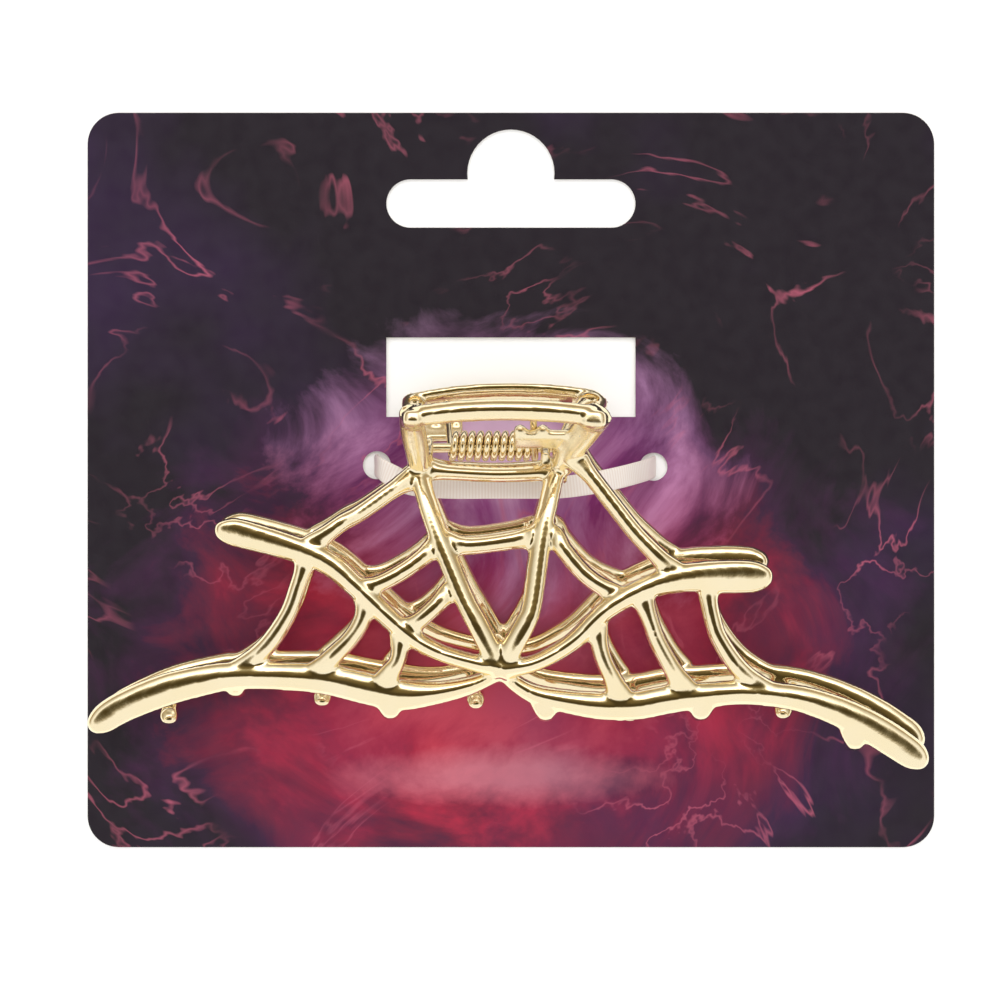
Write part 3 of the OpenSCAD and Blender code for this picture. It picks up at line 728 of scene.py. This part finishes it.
def card_print():
    """A marbled print: ink-dark edges with violet patches, a crimson glow low down with a pale pool
    in it, a magenta glow above with a pale core, and thin veins. Only the front is printed: the back
    and the cut edges are bare pale board."""
    material, tree, shader = new_material("printed_card", Specular_IOR_Level=0.3)
    place = add(tree, "ShaderNodeTexCoord")
    spot = add(tree, "ShaderNodeSeparateXYZ")
    join(tree, place.outputs["Object"], spot.inputs["Vector"])

    def noise(**values):
        clouds = add(tree, "ShaderNodeTexNoise", **values)
        join(tree, place.outputs["Object"], clouds.inputs["Vector"])
        return clouds.outputs["Fac"]

    def glow(centre, spread, drift):
        """How far a point is from a glow's centre, in its own spreads, with some drift added."""
        fitted = add(tree, "ShaderNodeMapping", vector_type="TEXTURE", Location=centre, Scale=spread)
        join(tree, place.outputs["Object"], fitted.inputs["Vector"])
        distance = add(tree, "ShaderNodeVectorMath", operation="LENGTH")
        join(tree, fitted.outputs["Vector"], distance.inputs[0])
        total = add(tree, "ShaderNodeMath", operation="MULTIPLY_ADD")
        join(tree, drift, total.inputs[0])
        total.inputs[1].default_value = GLOW_DRIFT
        join(tree, distance.outputs["Value"], total.inputs[2])
        return total.outputs["Value"]

    def between(value, low, high, start=0.0, end=1.0):
        span = add(tree, "ShaderNodeMapRange", From_Min=low, From_Max=high, To_Min=start, To_Max=end)
        join(tree, value, span.inputs["Value"])
        return span.outputs["Result"]

    def mixed(factor, under, over):
        mix = add(tree, "ShaderNodeMix", data_type="RGBA")
        join(tree, factor, mix.inputs["Factor"])
        for name, colour in (("A", under), ("B", over)):
            if isinstance(colour, tuple):
                mix.inputs[name].default_value = (*colour, 1)
            else:
                join(tree, colour, mix.inputs[name])
        return mix.outputs["Result"]

    marble = noise(Scale=38, Detail=7, Roughness=0.62, Distortion=2.2)
    ink = ramp(tree, [
        (0.3, (0.62, 0.06, 0.1)), (0.48, (0.42, 0.014, 0.05)), (0.62, (0.17, 0.01, 0.04)),
        (0.76, (0.045, 0.012, 0.045)), (0.9, (0.018, 0.012, 0.02))])
    join(tree, between(glow((0, -0.023, 0), (0.043, 0.03, 1), marble), 0.3, 2), ink.inputs["Fac"])
    violet = ramp(tree, [(0.35, (0.55, 0.26, 0.52)), (0.6, (0.27, 0.03, 0.22)), (0.8, (0.09, 0.012, 0.11))])
    join(tree, marble, violet.inputs["Fac"])
    dusk = between(noise(Scale=15, Detail=4, Roughness=0.6), 0.5, 0.66, 0, 0.45)
    shades = mixed(dusk, ink.outputs["Color"], (0.05, 0.014, 0.085))
    upper = between(glow((0, 0.0, 0), (0.026, 0.018, 1), marble), 0.9, 1.7, 1, 0)
    shades = mixed(upper, shades, violet.outputs["Color"])
    core = between(glow((-0.002, 0.005, 0), (0.011, 0.007, 1), marble), 1.0, 1.7, 0.8, 0)
    shades = mixed(core, shades, (0.72, 0.5, 0.68))
    pool = between(glow((0, -0.038, 0), (0.022, 0.004, 1), marble), 0.8, 1.6, 0.4, 0)
    shades = mixed(pool, shades, (0.62, 0.3, 0.38))
    ridges = ramp(tree, [(0.485, (0, 0, 0)), (0.5, (1, 1, 1)), (0.515, (0, 0, 0))])
    join(tree, noise(Scale=24, Detail=4, Distortion=3.5), ridges.inputs["Fac"])
    faint = add(tree, "ShaderNodeMath", operation="MULTIPLY")
    join(tree, ridges.outputs["Color"], faint.inputs[0])
    join(tree, between(noise(Scale=60), 0.45, 0.7, 0, 0.55), faint.inputs[1])
    veined = mixed(faint.outputs["Value"], shades, (0.62, 0.12, 0.2))
    front = between(spot.outputs["Z"], *PRINT_LEVELS)
    join(tree, mixed(front, (0.78, 0.75, 0.7), veined), shader.inputs["Base Color"])
    join(tree, between(noise(Scale=500, Detail=3), 0.3, 0.7, 0.36, 0.5), shader.inputs["Roughness"])
    fibres = add(tree, "ShaderNodeBump", Strength=0.3, Distance=0.00002)
    join(tree, noise(Scale=2500, Detail=3), fibres.inputs["Height"])
    join(tree, fibres.outputs["Normal"], shader.inputs["Normal"])
    return material


# Card, floor, light and camera

def floor():
    """A plain pale square under the card."""
    corners = np.array([(-1, -1), (1, -1), (1, 1), (-1, 1)]) * FLOOR_REACH
    mesh = bpy.data.meshes.new("floor")
    mesh.from_pydata([(x, y, FLOOR_LEVEL) for x, y in corners], [], [(0, 1, 2, 3)])
    material, tree, shader = new_material("pale_floor", Roughness=0.8, Base_Color=(0.93, 0.93, 0.93, 1))
    mesh.materials.append(material)
    obj = bpy.data.objects.new("floor", mesh)
    bpy.context.scene.collection.objects.link(obj)


def studio():
    """A light tent: a bright panel high on the hang slot's side, dim and warm round the foot there,
    even light on the other side, and a dark hole straight above, where the camera stands. The hole
    shows in reflections only, and matt surfaces get a little more light."""
    world = bpy.data.worlds.new("studio")
    bpy.context.scene.world = world
    world.use_nodes = True
    tree = world.node_tree
    place = add(tree, "ShaderNodeTexCoord")
    way = add(tree, "ShaderNodeSeparateXYZ")
    join(tree, place.outputs["Generated"], way.inputs["Vector"])
    fitted = add(
        tree, "ShaderNodeMapping", vector_type="TEXTURE", Location=(0, 0.17, 0), Scale=(0.62, 0.57, 100))
    join(tree, place.outputs["Generated"], fitted.inputs["Vector"])
    away = add(tree, "ShaderNodeVectorMath", operation="LENGTH")
    join(tree, fitted.outputs["Vector"], away.inputs[0])
    hole = ramp(tree, [
        (0.55, (0.065, 0.048, 0.02)), (0.7, (0.15, 0.13, 0.08)), (0.8, (0.5, 0.45, 0.36)), (0.9, (1, 1, 1))])
    join(tree, away.outputs["Value"], hole.inputs["Fac"])
    panel = ramp(tree, [(0.1, (0, 0, 0)), (0.4, (1, 1, 1)), (0.76, (1, 1, 1)), (0.9, (0, 0, 0))])
    join(tree, way.outputs["Y"], panel.inputs["Fac"])
    aside = add(tree, "ShaderNodeMath", operation="ABSOLUTE")
    join(tree, way.outputs["X"], aside.inputs[0])
    middle = add(tree, "ShaderNodeMapRange", From_Min=0.2, From_Max=0.55, To_Min=1.6, To_Max=0)
    join(tree, aside.outputs["Value"], middle.inputs["Value"])
    strength = add(tree, "ShaderNodeMath", operation="MULTIPLY_ADD")
    join(tree, panel.outputs["Color"], strength.inputs[0])
    join(tree, middle.outputs["Result"], strength.inputs[1])
    strength.inputs[2].default_value = 1
    foot = ramp(tree, [(0.0, (0.5, 0.37, 0.23)), (0.3, (0.4, 0.34, 0.24)), (0.7, (1, 1, 1))])
    join(tree, way.outputs["Z"], foot.inputs["Fac"])
    near = add(tree, "ShaderNodeMapRange", From_Min=-0.35, From_Max=0, To_Min=1, To_Max=0)
    join(tree, way.outputs["Y"], near.inputs["Value"])
    walls = add(tree, "ShaderNodeMix", data_type="RGBA", B=(1, 1, 1, 1))
    join(tree, near.outputs["Result"], walls.inputs["Factor"])
    join(tree, foot.outputs["Color"], walls.inputs["A"])
    seen = add(tree, "ShaderNodeLightPath")
    roof = add(tree, "ShaderNodeMix", data_type="RGBA", B=(1, 1, 1, 1))
    join(tree, seen.outputs["Is Diffuse Ray"], roof.inputs["Factor"])
    join(tree, hole.outputs["Color"], roof.inputs["A"])
    tent = add(tree, "ShaderNodeVectorMath", operation="MULTIPLY")
    join(tree, walls.outputs["Result"], tent.inputs[0])
    join(tree, roof.outputs["Result"], tent.inputs[1])
    lit = add(tree, "ShaderNodeVectorMath", operation="SCALE")
    join(tree, tent.outputs["Vector"], lit.inputs["Vector"])
    join(tree, strength.outputs["Value"], lit.inputs["Scale"])
    plain = add(tree, "ShaderNodeMix", data_type="RGBA", B=(1, 1, 1, 1))
    join(tree, seen.outputs["Is Camera Ray"], plain.inputs["Factor"])
    join(tree, lit.outputs["Vector"], plain.inputs["A"])
    join(tree, plain.outputs["Result"], tree.nodes["Background"].inputs["Color"])
    fill = add(tree, "ShaderNodeMapRange", To_Min=1, To_Max=1.22)
    join(tree, seen.outputs["Is Diffuse Ray"], fill.inputs["Value"])
    join(tree, fill.outputs["Result"], tree.nodes["Background"].inputs["Strength"])
    bpy.context.scene.view_settings.view_transform = "Standard"


def camera():
    """A camera straight above the card, looking down."""
    data = bpy.data.cameras.new("camera")
    data.sensor_width = SENSOR_WIDTH
    data.lens = SENSOR_WIDTH * CAMERA_HEIGHT / VIEW_WIDTH
    obj = bpy.data.objects.new("camera", data)
    x, y = VIEW_MIDDLE
    obj.location = (x * MM, y * MM, CAMERA_HEIGHT * MM)
    bpy.context.scene.collection.objects.link(obj)
    bpy.context.scene.camera = obj


camera()
studio()
floor()
plating = plating_group()
casting_gold = gold_finish("gold_casting", plating, (0.98, 0.86, 0.62), (0.96, 0.81, 0.5), 0.3, satin=0.16)
front_casting(casting_gold)
back_casting(casting_gold)
pin(gold_finish("gold_pin", plating, (0.96, 0.83, 0.57), (0.95, 0.79, 0.5), 0.1))
spring(gold_finish("gold_wire", plating, (0.96, 0.83, 0.57), (0.95, 0.79, 0.5), 0.05))
strap(strap_plastic())
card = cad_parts["card"]
card.data.materials.clear()
card.data.materials.append(card_print())
